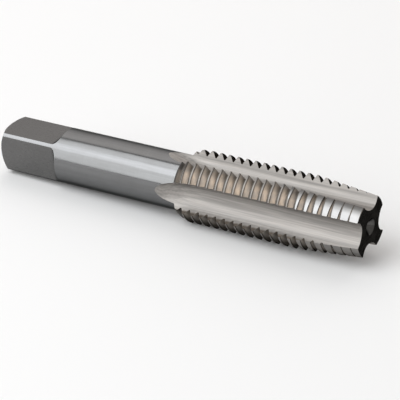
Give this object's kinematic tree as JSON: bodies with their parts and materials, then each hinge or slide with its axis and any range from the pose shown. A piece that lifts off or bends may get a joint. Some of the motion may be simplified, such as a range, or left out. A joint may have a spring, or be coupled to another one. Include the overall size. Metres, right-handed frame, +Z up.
{
  "type": "thread tap",
  "caption": "Straight-fluted hand tap: a threaded cutting body with a tapered point, a plain round shank and a square drive end.",
  "frame": {"origin": "centre of the bounding box's bottom face, on the surface that the tap lies on", "axes": "+X along the tap towards its cutting point (the axis rises 1.64 degrees that way), +Z up, +Y to the side"},
  "size_m": [0.1078, 0.017, 0.0179],
  "materials": {
    "tool_steel": "ground hardened tool steel, bright shank, matte flutes"
  },
  "bodies": {
    "root": {"tap": "tool_steel"}
  },
  "joints": []
}
